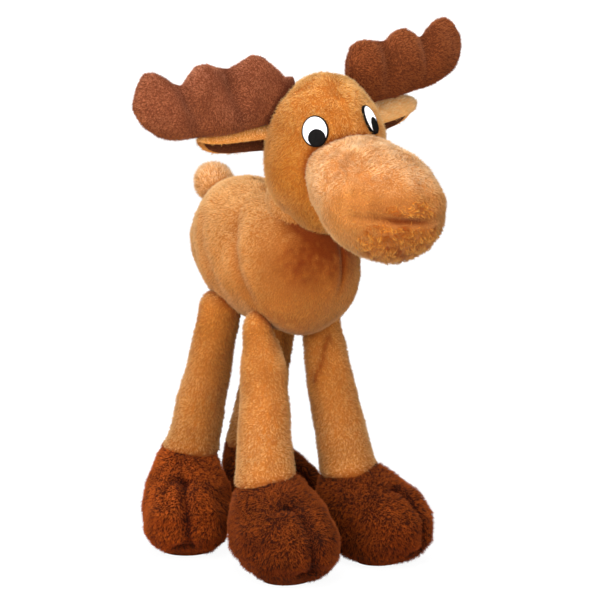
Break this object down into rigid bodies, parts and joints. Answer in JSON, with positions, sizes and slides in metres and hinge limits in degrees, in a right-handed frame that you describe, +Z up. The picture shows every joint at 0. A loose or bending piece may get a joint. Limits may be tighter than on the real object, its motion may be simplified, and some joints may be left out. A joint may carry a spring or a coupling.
{
  "type": "plush deer",
  "caption": "Standing long-legged plush deer with wide palm-shaped antlers, a big round muzzle, embroidered eyes and padded hooves; head, limbs, ears, antlers and tail flex at their seams.",
  "frame": {"origin": "middle of the bounding box on the plane of the soles", "axes": "+Z up; the toy faces -Y and its own left is +X; its head is turned and tilted a little at rest"},
  "size_m": [0.2184, 0.2344, 0.3432],
  "materials": {
    "tan_plush": "soft plush pile",
    "orange_tan_plush": "soft plush pile",
    "light_tan_plush": "soft plush pile",
    "red_brown_plush": "soft plush pile",
    "sole_plush": "short plush pile",
    "brown_short_plush": "short plush pile",
    "brown_lining": "short plush pile",
    "white_thread": "satin embroidery",
    "black_thread": "satin embroidery",
    "polyester_fibre": "loose fibre"
  },
  "bodies": {
    "torso": {"torso_casing": "tan_plush", "torso_stuffing": "polyester_fibre"},
    "front_right_leg": {"front_right_leg_casing": "tan_plush", "front_right_leg_stuffing": "polyester_fibre", "front_right_hoof_casing": "red_brown_plush", "front_right_hoof_sole": "sole_plush"},
    "front_left_leg": {"front_left_leg_casing": "tan_plush", "front_left_leg_stuffing": "polyester_fibre", "front_left_hoof_casing": "red_brown_plush", "front_left_hoof_sole": "sole_plush"},
    "rear_right_leg": {"rear_right_leg_casing": "tan_plush", "rear_right_leg_stuffing": "polyester_fibre", "rear_right_hoof_casing": "red_brown_plush", "rear_right_hoof_sole": "sole_plush"},
    "rear_left_leg": {"rear_left_leg_casing": "tan_plush", "rear_left_leg_stuffing": "polyester_fibre", "rear_left_hoof_casing": "red_brown_plush", "rear_left_hoof_sole": "sole_plush"},
    "tail": {"tail_casing": "light_tan_plush", "tail_stuffing": "polyester_fibre"},
    "neck": {"neck_casing": "tan_plush", "neck_stuffing": "polyester_fibre"},
    "head": {"head_casing": "orange_tan_plush", "muzzle_casing": "light_tan_plush", "head_stuffing": "polyester_fibre", "right_eye_border": "black_thread", "right_eye_white": "white_thread", "right_eye_pupil": "black_thread", "left_eye_border": "black_thread", "left_eye_white": "white_thread", "left_eye_pupil": "black_thread"},
    "right_antler": {"right_antler_front": "brown_short_plush", "right_antler_back": "brown_short_plush", "right_antler_stuffing": "polyester_fibre"},
    "left_antler": {"left_antler_front": "brown_short_plush", "left_antler_back": "brown_short_plush", "left_antler_stuffing": "polyester_fibre"},
    "right_ear": {"right_ear_outer": "orange_tan_plush", "right_ear_lining": "brown_lining"},
    "left_ear": {"left_ear_outer": "orange_tan_plush", "left_ear_lining": "brown_lining"}
  },
  "joints": [
    {"name": "front_right_hip", "type": "hinge", "parent": "torso", "child": "front_right_leg", "pos_m": [-0.01103, 0.02203, 0.1471], "axis": [-1, 0, 0], "range_deg": [-2, 30], "stiffness_Nm_per_rad": 0.5},
    {"name": "front_left_hip", "type": "hinge", "parent": "torso", "child": "front_left_leg", "pos_m": [0.03497, 0.02203, 0.14711], "axis": [-1, 0, 0], "range_deg": [-2, 30], "stiffness_Nm_per_rad": 0.5},
    {"name": "rear_right_hip", "type": "hinge", "parent": "torso", "child": "rear_right_leg", "pos_m": [-0.01103, 0.06603, 0.15631], "axis": [1, 0, 0], "range_deg": [-2, 30], "stiffness_Nm_per_rad": 0.5},
    {"name": "rear_left_hip", "type": "hinge", "parent": "torso", "child": "rear_left_leg", "pos_m": [0.03497, 0.06603, 0.15631], "axis": [1, 0, 0], "range_deg": [-2, 30], "stiffness_Nm_per_rad": 0.5},
    {"name": "tail_seam", "type": "hinge", "parent": "torso", "child": "tail", "pos_m": [0.01197, 0.09737, 0.23], "axis": [1, 0, 0], "range_deg": [-25, 25], "stiffness_Nm_per_rad": 0.03},
    {"name": "neck_turn", "type": "hinge", "parent": "torso", "child": "neck", "pos_m": [0.01197, 0.00603, 0.226], "axis": [0, -0.6428, 0.766], "range_deg": [-20, 20], "stiffness_Nm_per_rad": 0.6},
    {"name": "head_nod", "type": "hinge", "parent": "neck", "child": "head", "pos_m": [0.01197, 0.00603, 0.226], "axis": [0.9823, -0.1556, 0.1045], "range_deg": [-15, 8], "stiffness_Nm_per_rad": 0.6},
    {"name": "right_antler_seam", "type": "hinge", "parent": "head", "child": "right_antler", "pos_m": [-0.01574, -0.00426, 0.29267], "axis": [-0.0524, 0.0046, 0.9986], "range_deg": [-25, 25], "stiffness_Nm_per_rad": 0.08},
    {"name": "left_antler_seam", "type": "hinge", "parent": "head", "child": "left_antler", "pos_m": [0.02091, -0.01006, 0.29657], "axis": [-0.3515, 0.0694, 0.9336], "range_deg": [-25, 25], "stiffness_Nm_per_rad": 0.08},
    {"name": "right_ear_seam", "type": "hinge", "parent": "head", "child": "right_ear", "pos_m": [-0.02117, 0.00723, 0.26718], "axis": [-0.0393, -0.8447, -0.5337], "range_deg": [-5, 30], "stiffness_Nm_per_rad": 0.02},
    {"name": "left_ear_seam", "type": "hinge", "parent": "head", "child": "left_ear", "pos_m": [0.0347, -0.00162, 0.27313], "axis": [-0.019, 0.8493, 0.5276], "range_deg": [-5, 30], "stiffness_Nm_per_rad": 0.02}
  ]
}
